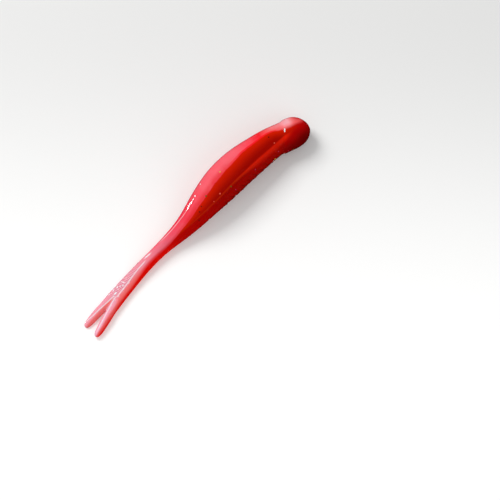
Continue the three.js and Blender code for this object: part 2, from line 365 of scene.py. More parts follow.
# %% [markdown]
# ## A guide for the pink's edge
# The pink was poured first, and its edge wanders along the flank. A painter would draw that edge
# on the skin. Here it is a table again, and each point keeps how many degrees it lies past the
# edge. On the flat tail the colours run straight across it instead, so there the same guide is
# worked out from how far across the tail a point lies, and the two are blended along the stem.
# The lane is how far across its own prong a point lies, because each prong is shaded on its own.

# %% The pink's edge
PINK_EDGE = np.array([  # distance from the nose, degrees round from the belly
    (0, 50), (6, 48), (10, 50), (13, 48), (15, 42), (18, 39), (22, 42), (30, 48), (36, 53), (42, 56),
    (50, 55), (56, 53), (62, 49), (69, 49), (72, 54), (75, 62), (79, 65), (82, 60), (85, 50), (88, 43),
    (92, 39), (98, 42), (LENGTH, 46),
])
FAR_REACH, FAR_BEGINS = 40.0, (78, 88)  # degrees that the pink reaches further round on the far side
TAIL_EDGE, PRONG_EDGE = 0.76, 0.85  # shares of the way out to the tail's rim
TAIL_SPREAD = 90.0  # degrees that the whole way out counts
STEM_TO_TAIL, TAIL_TO_PRONG, LANES_BEGIN = (94, 104), (108, 120), (108, 114)

prong_offset, prong_half = curve_through(PRONGS, along)[:, :2].T
rim = half * (1 - on_prong) + (prong_offset + prong_half) * on_prong
across_share = side / rim
past_on_body = round_from_belly - curve_through(PINK_EDGE, along)[:, 0]
past_on_body -= np.where(side < 0, FAR_REACH * smoothstep(along, *FAR_BEGINS), 0)
tail_edge = TAIL_EDGE + (PRONG_EDGE - TAIL_EDGE) * smoothstep(along, *TAIL_TO_PRONG)
past_on_tail = (across_share - tail_edge) * TAIL_SPREAD
tail_share = smoothstep(along, *STEM_TO_TAIL)
past_edge = past_on_body * (1 - tail_share) + past_on_tail * tail_share
prong_lane = (side - np.sign(side) * prong_offset) / prong_half
lane_share = smoothstep(along, *LANES_BEGIN)
lane = across_share * (1 - lane_share) + prong_lane * lane_share
print("degrees past the pink's edge: from", past_edge.min().round(), "to", past_edge.max().round())

# %% [markdown]
# ## A guide for the mould's lines
# The mould's two halves leave a fine line along the belly, which parts in two at the fork and runs
# on down each prong. It could be an edge of the mesh, but it isn't quite straight, so two more
# tables say where it runs, and each point of the belly side keeps how far it lies from it.

# %% The mould's lines
BELLY_LINE = np.array([  # distance from the nose, millimetres from the middle of the belly
    (0, 1.7), (50, 1.7), (56, 1.3), (60, 0.9), (64, 0.4), (68, -0.2), (76, -0.4), (80, -0.75),
    (84, -0.6), (88, -0.2), (90.5, 0.0), (94, -0.1), (98, 0.05), (102, 0.35), (106, 0.45), (LENGTH, 0.5),
])
PRONG_LINES = np.array([  # distance from the nose, millimetres from the middle on the two prongs
    (109, -0.9, 0.0), (112, -1.2, 0.3), (116.5, -2.0, 1.05), (121, -2.85, 1.8), (LENGTH, -4.4, 2.4),
])
PRONGS_PART = -0.4  # millimetres from the middle, where one line's side of the tail meets the other's
LINE_WIDTH = 0.4  # millimetres to each side over which a line shows

belly_line = curve_through(BELLY_LINE, along)[:, 0]
far_line, near_line = curve_through(PRONG_LINES, along).T
prong_line = np.where(side < PRONGS_PART, far_line, near_line)
line_place = np.where(along > PRONG_LINES[0, 0], prong_line, belly_line)
from_line = np.where(down > 0, side - line_place, half)
print("points on the lines:", int((np.abs(from_line) < LINE_WIDTH).sum()))

# %% [markdown]
# ## The spine
# A Curve modifier with tilt could bend and twist the straight bait, but a limp bait also settles
# until its underside is flat on the table. So the lay is worked out here. The spine runs back from
# the nose with a few soft bends. The body is rolled onto its flank and the tail nearly flat, and
# the spine's height is such that each section presses into the table a little.

# %% Spine
START_HEADING = -25.5  # degrees from the X axis at the nose
BENDS = [  # distances from the nose between which the spine turns, and by how many degrees
    (0, 26, 20.4), (14, 58, 9.9), (56, 80, -6.9), (66, 100, 6.2), (88, LENGTH, 7.5),
]
BODY_ROLL, TAIL_ROLL = 61, 8  # degrees between the belly's direction and straight up
TWIST = 40, 106  # distances over which the body's roll becomes the tail's
PRESS = 0.4
SPINE_STEP = 0.25
SECTION_TURNS = np.radians(np.arange(0, 360, 6))


def heading_at(distance):
    """Which way the spine points, as an angle from the X axis."""
    turns = [turn * smoothstep(distance, low, high) for low, high, turn in BENDS]
    return np.radians(START_HEADING + sum(turns))


def roll_at(distance):
    """How far the section is rolled over, as an angle."""
    return np.radians(BODY_ROLL + (TAIL_ROLL - BODY_ROLL) * smoothstep(distance, *TWIST))


def rest_height_at(distance):
    """The height of the spine, so that the section's lowest point presses into the table."""
    roll = roll_at(distance)
    heights = []
    for turn in SECTION_TURNS:
        across, to_belly = section_point(distance, np.full_like(distance, turn))
        heights.append(across * np.sin(roll) + to_belly * np.cos(roll))
    return -np.min(heights, axis=0) - PRESS


marks = np.arange(0, LENGTH + 2 * LONGER_PRONG, SPINE_STEP)
middles = heading_at(marks[:-1] + SPINE_STEP / 2)
spine_x = np.concatenate([[0], np.cumsum(-np.cos(middles) * SPINE_STEP)])
spine_y = np.concatenate([[0], np.cumsum(-np.sin(middles) * SPINE_STEP)])
rest_height = rest_height_at(marks)
print("spine: up to", rest_height.max().round(1), "mm high")

# %% [markdown]
# ## Laying the skin along the spine
# Each point of the skin is moved out by its relief and then carried to its place beside the spine.
# Nothing may go below the table, so what would is pressed flat onto it, as soft vinyl is. The bait
# is then centred on the packed solid, and the guides are kept as attributes, so that the paint
# follows the same lines on the bent bait.

# %% Laid skin
swollen = straight + read_vectors(bait.data.vertex_normals, "vector") * relief[:, None]
distance, across, to_belly = -swollen[:, 0], swollen[:, 1], -swollen[:, 2]
heading, roll = heading_at(distance), roll_at(distance)
sideways = to_belly * np.sin(roll) - across * np.cos(roll)
up = to_belly * np.cos(roll) + across * np.sin(roll)
laid = np.stack([
    np.interp(distance, marks, spine_x) - sideways * np.sin(heading),
    np.interp(distance, marks, spine_y) + sideways * np.cos(heading),
    np.maximum(np.interp(distance, marks, rest_height) + up, 0),
], axis=1) * MM
box_middle = np.array(sum(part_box("bait"), Vector())) / 2
laid[:, :2] += box_middle[:2] - (laid.min(0) + laid.max(0))[:2] / 2
bait.data.vertices.foreach_set("co", laid.astype(np.float32).ravel())
guides = {"along": along, "round": round_from_belly, "row": row, "across": across_share,
          "lane": lane, "past_pink": past_edge, "seam": past_seam / seam_width, "off_line": from_line}
for name, values in guides.items():
    bait.data.attributes.new(name, "FLOAT", "POINT").data.foreach_set("value", values.astype(np.float32))
bait.data.update()
bpy.ops.object.shade_smooth()
print("laid bait in mm:", (laid.max(0) - laid.min(0)).round(4) / MM)

# %% [markdown]
# ## Shader maths in plain Python
# A finish is a tree of nodes, which is slow to build by hand. It is quicker to write as expressions:
# a small class wraps a socket, so that adding or multiplying two of them makes the Math node.

# %% A number that changes over a surface
class Value:
    """A number that changes over a surface: a socket of a finish's node tree."""

    def __init__(self, finish, socket):
        self.finish, self.socket = finish, socket

    def math(self, operation, *others):
        """A Math node on this value and the others."""
        inputs = dict(enumerate([self, *others]))
        return self.finish.node("Math", {"operation": operation}, inputs).value()

    def __add__(self, other):
        return self.math("ADD", other)

    def __sub__(self, other):
        return self.math("SUBTRACT", other)

    def __rsub__(self, other):
        return self * -1 + other

    def __mul__(self, other):
        return self.math("MULTIPLY", other)

    def __truediv__(self, other):
        return self.math("DIVIDE", other)

    __radd__, __rmul__ = __add__, __mul__

    def smooth(self, low, high):
        """0 below low, 1 above high and a smooth rise between them."""
        sockets = {"Value": self, "From Min": low, "From Max": high}
        return self.finish.node("MapRange", {"interpolation_type": "SMOOTHSTEP"}, sockets).value()

    def between(self, rise, fall):
        """A smooth rise from 0 to 1 over the first range and a smooth fall over the second."""
        return self.smooth(*rise) * (1 - self.smooth(*fall))

    def hump(self, middle, width):
        """1 at the middle and 0 at a width to each side."""
        return 1 - ((self - middle).math("ABSOLUTE") / width).smooth(0, 1)


print("a value knows", [name for name in vars(Value) if not name.startswith("_")])

# %% [markdown]
# A finish holds a material, and its one method `node` makes every node. The others are short forms
# for what comes often: a guide of the skin, a mix of two colours, a ramp, some cloudy variation, and
# washes, which are thin tints laid over each other as a painter would.

# %% A finish
class Made:
    """A new node, whose outputs are taken by name or number."""

    def __init__(self, finish, node):
        self.finish, self.node = finish, node

    def value(self, name=0):
        return Value(self.finish, self.node.outputs[name])


def linear(red, green, blue):
    """A colour given as it looks on a screen, from 0 to 255, as the linear values that nodes use."""
    shares = np.array([red, green, blue]) / 255
    return (*np.where(shares <= 0.04045, shares / 12.92, ((shares + 0.055) / 1.055) ** 2.4), 1)


def set_stops(ramp, stops):
    """Gives a colour ramp its stops, each with a place from 0 to 1 and a colour."""
    for place, _ in stops[2:]:
        ramp.elements.new(place)
    for element, (place, colour) in zip(ramp.elements, stops):
        element.position, element.color = place, colour


def socket_of(node, name):
    """An input of a node by its number, its name or its identifier."""
    if isinstance(name, int):
        return node.inputs[name]
    return next(found for found in node.inputs if name in (found.name, found.identifier))


class Finish:
    """A material and the one method that makes its nodes."""

    def __init__(self, name):
        self.material = bpy.data.materials.new(name)
        self.material.use_nodes = True
        self.tree = self.material.node_tree
        self.tree.nodes.clear()

    def node(self, kind, settings, inputs):
        """Adds a node, sets its settings or its ramp's stops, and then its sockets."""
        node = self.tree.nodes.new("ShaderNode" + kind)
        for name, setting in settings.items():
            if name == "stops":
                set_stops(node.color_ramp, setting)
            else:
                setattr(node, name, setting)
        for name, given in inputs.items():
            if isinstance(given, Value):
                self.tree.links.new(given.socket, socket_of(node, name))
            else:
                socket_of(node, name).default_value = given
        return Made(self, node)

    def attribute(self, name):
        """A guide that the skin keeps at its points."""
        return self.node("Attribute", {"attribute_name": name}, {}).value("Fac")

    def mix(self, share, plain, other):
        """From the plain colour to the other by a share of 0 to 1."""
        inputs = {"Factor_Float": share, "A_Color": plain, "B_Color": other}
        return self.node("Mix", {"data_type": "RGBA"}, inputs).value(2)

    def washes(self, colour, layers):
        """Thin tints over a colour, each with a mask, a strength and its own colour on a screen."""
        for mask, strength, screen in layers:
            colour = self.mix(mask * strength, colour, linear(*screen))
        return colour

    def ramp(self, value, stops):
        """A colour for each number from 0 to 1, by stops of a place and a colour."""
        return self.node("ValToRGB", {"stops": stops}, {"Fac": value}).value("Color")

    def noise(self, size, detail=2.0):
        """Cloudy variation around 0.5 with blotches of about that size in millimetres."""
        place = self.node("TexCoord", {}, {}).value("Object")
        inputs = {"Vector": place, "Scale": 1 / (size * MM), "Detail": detail}
        return self.node("TexNoise", {}, inputs).value("Fac")

    def finish(self, shader):
        """Ends the tree with its shader and gives the material."""
        self.node("OutputMaterial", {}, {"Surface": shader})
        return self.material


print("a screen red of 200 is", round(float(linear(200, 0, 0)[0]), 3), "linear")

# %% [markdown]
# ## The vinyl: pinks
# The real skin is tinted clear vinyl with a wet gloss: light goes in a little and comes out redder.
# Glass with a coloured volume would be truest, but it renders slowly and noisily, so the tints are
# painted and a little subsurface scattering softens them. First come the pinks. They are palest on
# the cap and on the tail, where the pale is partly a painted sheen, and most saturated where the
# poured layer is thin. They are redder by the pink's edge, painted a deeper crimson on the far flank
# as painted shade, and salmon on the outer side of each prong.

# %% Pinks
skin = Finish("two_tone_vinyl")
skin_along, skin_round, skin_row = (skin.attribute(name) for name in ("along", "round", "row"))
skin_across, skin_lane = skin.attribute("across"), skin.attribute("lane")
past_pink, seam = skin.attribute("past_pink"), skin.attribute("seam")

# The pale stops on the cap, from 6.6 to 11.4 mm, and those on the tail are partly a painted sheen.
PINKS_AND_SHEEN = [  # distance from the nose, colour on a screen
    (2, (236, 50, 50)), (5, (248, 96, 96)), (6.6, (254, 128, 130)), (8, (255, 176, 184)),
    (10.2, (255, 164, 172)), (11.4, (252, 136, 142)), (15, (255, 128, 132)), (17.5, (255, 90, 96)),
    (20.5, (255, 38, 50)), (26, (255, 72, 88)), (33, (255, 104, 118)), (50, (255, 98, 112)),
    (66, (246, 66, 84)), (74, (248, 84, 104)), (80, (246, 108, 128)), (92, (248, 148, 164)),
    (105, (250, 160, 178)), (LENGTH, (255, 164, 180)),
]
BLUSH = -26, -4  # degrees past the pink's edge
BLUSH_ON_FLANK, BLUSH_ON_CAP = (30, 45), (17, 22)  # distances where the one begins and the other ends
FAR_SIDE, FAR_FLANK = (-0.5, 0.0), ((38, 50), (78, 87))  # shares across, and distances
FRONT_ENDS, FRONT_SIDE = (4.8, 6.8), (0.2, 0.5)
TAIL_BEGINS, OUTER_LANE = (90, 99), (-0.1, 0.55)
CLOUD_SIZE, CLOUD_DETAIL = 6.0, 3.0

pink = skin.ramp(skin_along / LENGTH, [(place / LENGTH, linear(*screen)) for place, screen in PINKS_AND_SHEEN])
blush = past_pink.smooth(*BLUSH)
# Painted shade: the far flank, turned from the light, is painted a deeper crimson.
far_flank_shade = (1 - skin_across.smooth(*FAR_SIDE)) * skin_along.between(*FAR_FLANK)
cap_front = (1 - skin_across.smooth(*FRONT_SIDE)) * (1 - skin_along.smooth(*FRONT_ENDS))
on_tail = skin_along.smooth(*TAIL_BEGINS)
pink = skin.washes(pink, [  # mask, strength, colour on a screen
    (blush * skin_along.smooth(*BLUSH_ON_FLANK), 0.7, (238, 42, 50)),
    (blush * (1 - skin_along.smooth(*BLUSH_ON_CAP)), 0.5, (254, 78, 80)),
    # painted shade on the far flank
    (far_flank_shade, 0.75, (246, 44, 78)),
    (cap_front, 0.7, (226, 40, 52)),
    (skin.noise(CLOUD_SIZE, CLOUD_DETAIL) - 0.5, 0.5, (255, 170, 175)),
    (on_tail * skin_lane.smooth(*OUTER_LANE), 0.9, (255, 110, 106)),
])
print("pinks:", len(PINKS_AND_SHEEN), "stops,", len(skin.tree.nodes), "nodes so far")

# %% [markdown]
# ## The vinyl: reds of the flank and the back
# The reds start at the pink's edge with an orange-red band that darkens towards the seam. The seam
# itself is painted brighter, a painted sheen where the raised band catches the light. Then the back
# is deep red, painted darker further round partly as painted shade, with the herringbone: a dark
# groove behind each ridge and finer brownish lines between. They are painted as well as moulded;
# the dark in the grooves is painted shade.

# %% Reds of the flank and the back
FLANK_DARKENS, BACK_DARKENS = (0, 38), (98, 170)  # degrees past the edge, degrees round from the belly
SEAM_BEGINS, SEAM_NARROWS, SEAM_DULLS = (7, 12), (15, 24), (28, 44)  # distances from the nose
SEAM_SCALE, SEAM_SPAN = 0.7, ((-0.05, 0.25), (0.45, 1.25))  # its scale at the cap, and where it is lit
BACK_CLEARS, BEHIND_CAP = (50, 74), (12, 17)
PAINT_BEGINS, PAINT_ENDS = (0.7, 1.4), (78, 90)  # seam's widths round, and rows
PAINT_SINKS = 0.7
LINES_PER_RIDGE = 3
GROOVE_SHADE_ROUND = 112, 150

seam_place = seam * (SEAM_SCALE + (1 - SEAM_SCALE) * skin_along.smooth(*SEAM_NARROWS))
lit_seam = seam_place.between(*SEAM_SPAN) * skin_along.smooth(*SEAM_BEGINS)
past_cap = skin_along.smooth(*BEHIND_CAP)
herringbone = seam.smooth(*PAINT_BEGINS) * past_cap * (1 - skin_row.smooth(*PAINT_ENDS))
herringbone *= 1 - PAINT_SINKS * skin_along.smooth(*RIDGES_SINK)
groove = (skin_row * (math.tau / RIDGE_PITCH)).math("SINE").smooth(0.2, 1.0)
fine_wave = (skin_row * (math.tau * LINES_PER_RIDGE / RIDGE_PITCH)).math("SINE")

flank_red = skin.mix(past_pink.smooth(*FLANK_DARKENS), linear(216, 29, 0), linear(169, 9, 0))
# Painted sheen: the raised seam is painted a brighter red where it catches the light.
seam_sheen_red = skin.mix(skin_along.smooth(*SEAM_DULLS), linear(230, 30, 6), linear(184, 32, 0))
# The back is deep red and painted darker further round, partly as painted shade on the side turned from
# the light.
back_red = skin.mix(skin_round.smooth(*BACK_DARKENS), linear(184, 2, 0), linear(152, 0, 0))
back_red = skin.washes(back_red, [
    (skin_along.smooth(*BACK_CLEARS), 0.6, (214, 4, 0)),
    # painted shade in the grooves behind the ridges
    (herringbone * groove * skin_round.smooth(*GROOVE_SHADE_ROUND), 0.5, (92, 0, 0)),
    (herringbone * fine_wave.smooth(0.2, 0.9), 0.35, (150, 34, 4)),
])
red = skin.mix(seam.smooth(0.2, 1.0), flank_red, back_red)
red = skin.mix(lit_seam, red, seam_sheen_red)
print("reds of the flank and the back:", len(skin.tree.nodes), "nodes so far")

# %% [markdown]
# ## The vinyl: reds of the cap and the stem
# The cap's red is the darkest, most of all over its top, partly because the vinyl is thick there and
# partly as painted shade on the side turned from the light. The stem and the tail's edge are clear
# bright red, because there it is thin. Both are blended in along the bait, since the real colours
# have no border there.

# %% Reds of the cap and the stem
CAP_TO_BODY, CAP_TOP_ENDS, STEM_CLEARS = (3, 11), (10, 18), (70, 84)
CAP_DARKENS, CAP_TOP = (60, 112), (88, 135)  # degrees round from the belly

# Darker further round the cap, partly as painted shade on the side turned from the light.
cap_red = skin.mix(skin_round.smooth(*CAP_DARKENS), linear(196, 4, 6), linear(128, 0, 0))
red = skin.mix(skin_along.smooth(*CAP_TO_BODY), cap_red, red)
red = skin.washes(red, [
    # partly painted shade over the cap's top
    ((1 - skin_along.smooth(*CAP_TOP_ENDS)) * skin_round.smooth(*CAP_TOP), 0.6, (92, 0, 0)),
    (skin_along.smooth(*STEM_CLEARS), 1.0, (252, 10, 0)),
])
print("all reds:", len(skin.tree.nodes), "nodes so far")

# %% [markdown]
# ## The vinyl: where the colours meet
# The two colours ran into each other a little when they were poured. The line is crisp along the
# flank and soft on the cap and on the tail, with a thin rim of pure red at the front. A straight
# mask would look printed, so two sizes of noise make the line wander.

# %% Where the colours meet
RUN = 2.4  # degrees to each side over which the colours run together on the flank
CAP_SOFTER, TAIL_SOFTER = 3, 5  # how many times more they do so on the cap and on the tail
CAP_SOFT_ENDS, TAIL_SOFT_BEGINS = (9, 15), (72, 84)
WANDERS = [(7.0, 9), (1.6, 3)]  # size in millimetres, and degrees that the line swings
RIM_PLACE, RIM_WIDTH, RIM_SPAN = -1, 8 / 3, ((11, 16), (28, 48))

softness = (1 + CAP_SOFTER * (1 - skin_along.smooth(*CAP_SOFT_ENDS))
            + TAIL_SOFTER * skin_along.smooth(*TAIL_SOFT_BEGINS))
wander = sum((skin.noise(size) - 0.5) * swing for size, swing in WANDERS)
meeting = (past_pink + wander) / (softness * RUN)
red_rim = meeting.hump(RIM_PLACE, RIM_WIDTH) * skin_along.between(*RIM_SPAN)
colour = skin.mix(meeting.smooth(-1, 1), pink, red)
colour = skin.washes(colour, [(red_rim, 0.85, (252, 14, 18))])
print("both colours:", len(skin.tree.nodes), "nodes so far")

# %% [markdown]
# ## The vinyl: the mould's lines
# The lines that the mould left are raised by a hair and catch the light, so they look nearly white
# on the pink. They are too fine for the mesh, so their glint is a painted highlight here, and they
# are raised by the bump later. The belly's line fades before the tail, and a short slanting painted
# highlight carries it on. A soft paler band along the line of the nearer prong is a painted sheen.

# %% The mould's lines in the paint
LINE_SPAN, LINE_FADES, LINE_RETURNS = ((60, 66), (123, 127)), (77, 82), (89, 91.5)
LINE_HIGHLIGHT_FAINT, LINE_HIGHLIGHT_BRIGHTENS = 0.6, (84, 90)
# Where the short slanting painted highlight lies.
STREAK_START, STREAK_OFFSET, STREAK_SLANT = 86.3, 0.15, 0.3  # slant: how far across for each 1 along
STREAK_WIDTH, STREAK_MIDDLE, STREAK_REACH = 0.5, 87.6, 2.4
BAND_WIDTH, BAND_BEGINS, BAND_SIDE = 1.1, (108, 113), (-0.1, 0.05)

off_line = skin.attribute("off_line")
# Painted sheen: a paler band along the line of the nearer prong.
prong_sheen_band = off_line.hump(0, BAND_WIDTH) * skin_across.smooth(*BAND_SIDE) * skin_along.smooth(*BAND_BEGINS)
# The mould's line is relief as well as a painted highlight along it.
mould_line_and_highlight = off_line.hump(0, LINE_WIDTH) * skin_along.between(*LINE_SPAN)
mould_line_and_highlight *= 1 - skin_along.smooth(*LINE_FADES) + skin_along.smooth(*LINE_RETURNS)
line_highlight_strength = LINE_HIGHLIGHT_FAINT + (1 - LINE_HIGHLIGHT_FAINT) * skin_along.smooth(*LINE_HIGHLIGHT_BRIGHTENS)
off_streak = off_line + STREAK_OFFSET + (skin_along - STREAK_START) * STREAK_SLANT
streak_highlight = off_streak.hump(0, STREAK_WIDTH) * skin_along.hump(STREAK_MIDDLE, STREAK_REACH)
colour = skin.washes(colour, [
    # painted sheen on the nearer prong
    (prong_sheen_band, 0.55, (255, 200, 226)),
    # painted highlight along the mould's lines
    (mould_line_and_highlight, line_highlight_strength, (255, 232, 238)),
    # painted highlight on the stem
    (streak_highlight, 1.7, (255, 238, 244)),
])
print("lines:", len(skin.tree.nodes), "nodes so far")

# %% [markdown]
# ## The vinyl: ribs and sparkles of the tail
# Fine ribs run across the flat of the tail, with a painted highlight on their crests and painted
# shade between, and the thin vinyl is wrinkled where the fork begins, so it glitters there: those
# glints are painted highlights. The ribs are a sine wave along the bait that some noise bends,
# because cut ones would be too even. The painted glints are the few peaks of a fine noise that rise
# over a threshold.

# %% Ribs and sparkles
RIB_PITCH, RIB_SLANT = 0.69, 5
RIB_NOISE, RIB_SWING = 3.0, 9  # size in millimetres of the noise that bends them, and how much it does
RIBS_END, RIBS_SIDE = (106, 112), (-0.1, 0.1)
GLINT_SIZE, GLINT_PEAKS = 0.8, (0.65, 0.7)
GLINT_SPAN, GLINT_SIDE = ((98, 104), (108, 112)), (0.1, 0.4)

on_ribs = on_tail * (1 - skin_along.smooth(*RIBS_END)) * (1 - skin_across.smooth(*RIBS_SIDE))
straight_ribs = skin_along * (math.tau / RIB_PITCH) + skin_across * RIB_SLANT
ribs = (straight_ribs + skin.noise(RIB_NOISE) * RIB_SWING).math("SINE")
# Painted highlights: glints on the wrinkles at the fork.
wrinkle_glints = skin.noise(GLINT_SIZE, 0.0).smooth(*GLINT_PEAKS) * skin_along.between(*GLINT_SPAN)
colour = skin.washes(colour, [
    # painted highlight on the rib crests
    (ribs.smooth(-0.2, 1) * on_ribs, 0.5, (255, 226, 236)),
    # painted shade between the ribs
    ((1 - ribs.smooth(-1, 0.4)) * on_ribs, 0.5, (206, 66, 104)),
    # painted highlights on the wrinkles
    (wrinkle_glints * (1 - skin_across.smooth(*GLINT_SIDE)), 1.0, (255, 250, 252)),
])
print("ribs and sparkles:", len(skin.tree.nodes), "nodes so far")

# %% [markdown]
# ## The vinyl: fine relief and gloss
# Cast vinyl is smooth but never perfectly even. What is too fine for the mesh goes into one bump:
# the lines between the ridges, the ribs, the mould's line with its small beads, the wrinkles at the
# fork, and a soft unevenness of two sizes that breaks up the glints. The gloss itself is the same
# all over, so it is set on the shader, with a little scattering for the light inside the vinyl.

# %% Fine relief and gloss
BEAD_PITCH, BEAD_WIDTH, BEAD_SPAN = 1.3, 1.2, ((52, 57), (66, 70))
BEAD_NOISE, BEAD_SWING = 2.0, 8
WRINKLE_SIZE, WRINKLE_SPAN = 1.0, ((100, 107), (112, 118))
FINE_SIZE, BROAD_SIZE = 1.1, 3.5
ROUGHNESS, SCATTER, SCATTER_DEPTH = 0.1, 0.12, 1.2

even_beads = skin_along * (math.tau / BEAD_PITCH)
beads = (even_beads + skin.noise(BEAD_NOISE) * BEAD_SWING).math("SINE") * off_line.hump(0, BEAD_WIDTH)
reliefs = [  # pattern, its height in millimetres
    (fine_wave * herringbone, 0.036), (ribs * on_ribs, 0.03), (mould_line_and_highlight, 0.03),
    (beads * skin_along.between(*BEAD_SPAN), 0.004),
    (skin.noise(WRINKLE_SIZE) * skin_along.between(*WRINKLE_SPAN), 0.16),
    (skin.noise(FINE_SIZE), 0.03), (skin.noise(BROAD_SIZE), 0.12),
]
bump_height = sum(pattern * height for pattern, height in reliefs)
bumped = skin.node("Bump", {}, {"Strength": 1.0, "Distance": MM, "Height": bump_height})
vinyl = skin.node("BsdfPrincipled", {}, {
    "Base Color": colour, "Roughness": ROUGHNESS, "IOR": 1.5, "Subsurface Weight": SCATTER,
    "Subsurface Radius": (1.0, 0.2, 0.15), "Subsurface Scale": SCATTER_DEPTH * MM,
    "Normal": bumped.value("Normal"),
})
bait.data.materials.append(skin.finish(vinyl.value("BSDF")))
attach(bait, "root")
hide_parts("bait")
print("vinyl:", len(skin.tree.nodes), "nodes")

# %% [markdown]
# ## Glitter
# A pinch of glitter is stirred into the vinyl, and the flakes that end up at the surface show as
# specks of gold, white, pink, green and brown. Painted dots would do from afar, but real flakes have
# an edge and a tilt, so each one catches the light in its turn. One six-sided flake is modelled. Its
# copies are joined into one mesh for each colour, because a scatter of instances can't be exported.

# %% One flake
FLAKE_CORNERS, FLAKE_THICKNESS, FLAKE_BEVEL = 6, 0.16, 0.05  # of a flake that is 1 across

bpy.ops.object.select_all(action="DESELECT")
bpy.ops.mesh.primitive_cylinder_add(vertices=FLAKE_CORNERS, radius=0.5, depth=FLAKE_THICKNESS)
flake = bpy.context.object
bpy.ops.object.mode_set(mode="EDIT")
bpy.ops.mesh.select_all(action="SELECT")
bpy.ops.mesh.bevel(offset=FLAKE_BEVEL, segments=1)
bpy.ops.object.mode_set(mode="OBJECT")
flake_points = read_vectors(flake.data.vertices, "co")
flake_faces = [list(face.vertices) for face in flake.data.polygons]
bpy.data.objects.remove(flake)
print("one flake:", len(flake_points), "points,", len(flake_faces), "faces")

# %% [markdown]
# ## Where the flakes sit
# A few flakes sit where they catch the eye on the flank that faces up, and five white ones side by
# side stand in for a highlight: a painted glint at the cap's edge. The rest are scattered over the
# other sides by a seeded draw, evenly for the area of the skin, as stirring would leave them.

# %% Places of the flakes
FLAKES = {  # kind: its colour on a screen, how many are scattered
    # Pure white, so that the flakes at the cap's edge read as a highlight.
    "gold": ((240, 190, 90), 10), "white": ((255, 255, 255), 16), "salmon": ((250, 96, 76), 18),
    "rose": ((214, 40, 84), 18), "green": ((104, 88, 24), 8), "brown": ((90, 16, 6), 10),
}
CHOSEN_FLAKES = [  # kind, distance from the nose, degrees round from the belly
    # The five at 10.7 to 11.1 mm from the nose are a painted glint.
    ("gold", 43.3, 47), ("white", 51.6, 6), ("white", 10.7, 52), ("white", 10.8, 54.5),
    ("white", 10.9, 57), ("white", 11.0, 59.5), ("white", 11.1, 62),
    ("rose", 43.6, 117), ("green", 44.5, 96), ("salmon", 50.1, 86), ("salmon", 54.0, 87),
    ("rose", 31.4, 114), ("green", 54.5, 53), ("brown", 59.0, 61), ("brown", 60.8, 65),
    ("brown", 63.3, 91), ("brown", 18.2, 55), ("salmon", 17.6, 83), ("rose", 17.8, 118),
]
SHOWN_NEAR, SHOWN_FAR = 140, 75  # degrees round up to which the near flank and the far one are seen
CLEAR_OF_TABLE = 0.8
MM_PER_DEGREE = 0.12  # round the bait, on average
SEED = 7

shown_side = ((side > 0) & (round_from_belly < SHOWN_NEAR)) | (round_from_belly < SHOWN_FAR)
may_hold = ~shown_side & (laid[:, 2] > CLEAR_OF_TABLE * MM)
draw = np.random.default_rng(SEED)


def point_at(distance, degrees_round):
    """The number of the nearest point of the skin on the near flank."""
    off = (along - distance) ** 2 + ((round_from_belly - degrees_round) * MM_PER_DEGREE) ** 2
    return int(np.argmin(np.where(side > 0, off, np.inf)))


chosen = {kind: [point_at(*place) for other, *place in CHOSEN_FLAKES if other == kind] for kind in FLAKES}
corner_area = np.zeros(len(laid))
for face in bait.data.polygons:
    corner_area[list(face.vertices)] += face.area
chance = corner_area * may_hold / (corner_area * may_hold).sum()
scattered = {kind: list(draw.choice(len(laid), count, p=chance)) for kind, (_, count) in FLAKES.items()}
print("flakes:", {kind: len(chosen[kind] + scattered[kind]) for kind in FLAKES})

# %% [markdown]
# ## The foil
# Each copy of the flake is turned at random in its own plane, tilted a little out of the skin's
# direction and sunk until it stands just proud. Real glitter is coloured metal foil, but a metal
# would only mirror the dark here, so each colour is a plain glossy foil with a faint grain.

# %% Glitter
TILT = 0.2  # how far a flake's direction strays from the skin's
FLAKE_SIZES = 0.5, 0.8
LIFT = 0.02  # of a flake's middle over the skin
FOIL_GRAIN, FOIL_SHADE, FOIL_ROUGHNESS = 0.4, 0.9, 0.25

skin_normals = read_vectors(bait.data.vertex_normals, "vector")


def flake_mesh(points_on_skin):
    """All corners and faces of the flakes at some points of the skin."""
    corners, faces = [], []
    for point in points_on_skin:
        outward = skin_normals[point] + draw.uniform(-TILT, TILT, 3)
        outward /= np.linalg.norm(outward)
        first = np.cross(outward, draw.normal(size=3))
        first /= np.linalg.norm(first)
        axes = np.stack([first, np.cross(outward, first), outward])
        middle = laid[point] + outward * LIFT * MM
        faces += [[corner + len(corners) for corner in face] for face in flake_faces]
        corners += list(middle + flake_points @ axes * draw.uniform(*FLAKE_SIZES) * MM)
    return corners, faces


for kind, (screen, _) in FLAKES.items():
    corners, faces = flake_mesh(chosen[kind] + scattered[kind])
    mesh = bpy.data.meshes.new("glitter_" + kind)
    mesh.from_pydata(corners, [], faces)
    glitter = bpy.data.objects.new("glitter_" + kind, mesh)
    bpy.context.scene.collection.objects.link(glitter)
    foil = Finish("foil_" + kind)
    shaded = linear(*(value * FOIL_SHADE for value in screen))
    foil_colour = foil.mix(foil.noise(FOIL_GRAIN), linear(*screen), shaded)
    foil_shader = foil.node("BsdfPrincipled", {}, {"Base Color": foil_colour, "Roughness": FOIL_ROUGHNESS})
    mesh.materials.append(foil.finish(foil_shader.value("BSDF")))
    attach(glitter, "root")
    print(glitter.name, len(mesh.polygons), "faces")

# %% [markdown]
# ## Camera
# The camera looks down steeply from far away with a long lens, so there is nearly no perspective. It
# could be aimed by hand, but here its place is worked out from the view's two angles, the scale and
# the dot of the picture where the origin falls, so the framing is set by numbers.

